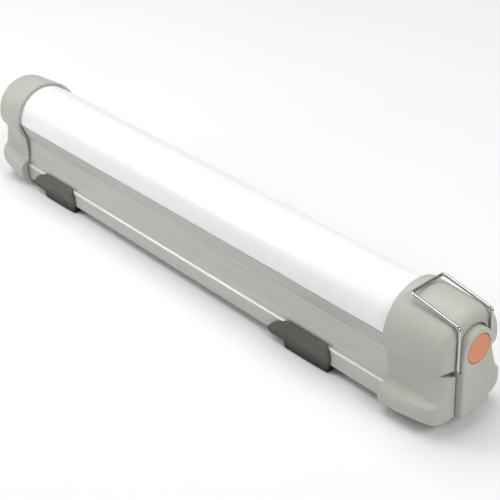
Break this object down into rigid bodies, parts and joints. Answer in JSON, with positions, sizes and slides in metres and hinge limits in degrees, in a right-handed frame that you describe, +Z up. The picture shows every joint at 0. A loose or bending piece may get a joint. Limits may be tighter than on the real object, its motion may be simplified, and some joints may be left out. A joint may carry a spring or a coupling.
{
  "type": "led light tube",
  "caption": "Half-round opal LED light tube in a rail-like aluminium housing, with moulded end caps, a push button, a swing-out wire bail and sliding clips.",
  "frame": {"origin": "centre of the bounding box in plan, at the height of the two clips' bases, which the tube stands on", "axes": "+X along the tube towards the end with the button and the bail, +Y across it, +Z up through the diffuser"},
  "size_m": [0.5694, 0.0754, 0.0987],
  "materials": {
    "cap_plastic": "fine moulded matt, warm light grey",
    "opal_diffuser": "satin opal white",
    "aluminium": "extruded, satin anodised",
    "clip_plastic": "satin dark grey",
    "button_rubber": "soft matt orange",
    "wire_steel": "polished stainless wire",
    "screw_steel": "zinc plated",
    "seal_rubber": "moulded",
    "board_white": "white solder mask",
    "phosphor": "silicone",
    "board_green": "solder mask",
    "tray_plastic": "moulded",
    "cell_sleeve": "shrink film",
    "switch_plastic": "moulded"
  },
  "bodies": {
    "housing": {"housing_profile": "aluminium", "diffuser": "opal_diffuser", "end_cap_near": "cap_plastic", "end_cap_far": "cap_plastic", "gasket_near": "seal_rubber", "gasket_far": "seal_rubber", "cap_screw_near_right": "screw_steel", "cap_screw_near_left": "screw_steel", "cap_screw_far_right": "screw_steel", "cap_screw_far_left": "screw_steel", "switch_cover": "cap_plastic", "cover_screw_1": "screw_steel", "cover_screw_2": "screw_steel", "button_seal": "seal_rubber", "switch_module": "switch_plastic", "led_board": "board_white", "led_strip": "phosphor", "battery_tray": "tray_plastic", "battery_cell_1": "cell_sleeve", "battery_cell_2": "cell_sleeve", "battery_cell_3": "cell_sleeve", "battery_cell_4": "cell_sleeve", "battery_cell_5": "cell_sleeve", "battery_cell_6": "cell_sleeve", "charge_board": "board_green", "driver_board": "board_green", "charge_inlet": "switch_plastic"},
    "button": {"power_button": "button_rubber"},
    "bail": {"bail_wire": "wire_steel"},
    "near_clip": {"clip_near": "clip_plastic"},
    "far_clip": {"clip_far": "clip_plastic"}
  },
  "joints": [
    {"name": "button_press", "type": "slide", "parent": "housing", "child": "button", "axis": [-1, 0, 0], "range_m": [0, 0.003], "stiffness_N_per_m": 500},
    {"name": "bail_swing", "type": "hinge", "parent": "housing", "child": "bail", "pos_m": [0.2802, 0, 0.0532], "axis": [0, 1, 0], "range_deg": [0, 180]},
    {"name": "near_clip_slide", "type": "slide", "parent": "housing", "child": "near_clip", "axis": [1, 0, 0], "range_m": [-0.12, 0.05]},
    {"name": "far_clip_slide", "type": "slide", "parent": "housing", "child": "far_clip", "axis": [1, 0, 0], "range_m": [-0.008, 0.12]}
  ]
}
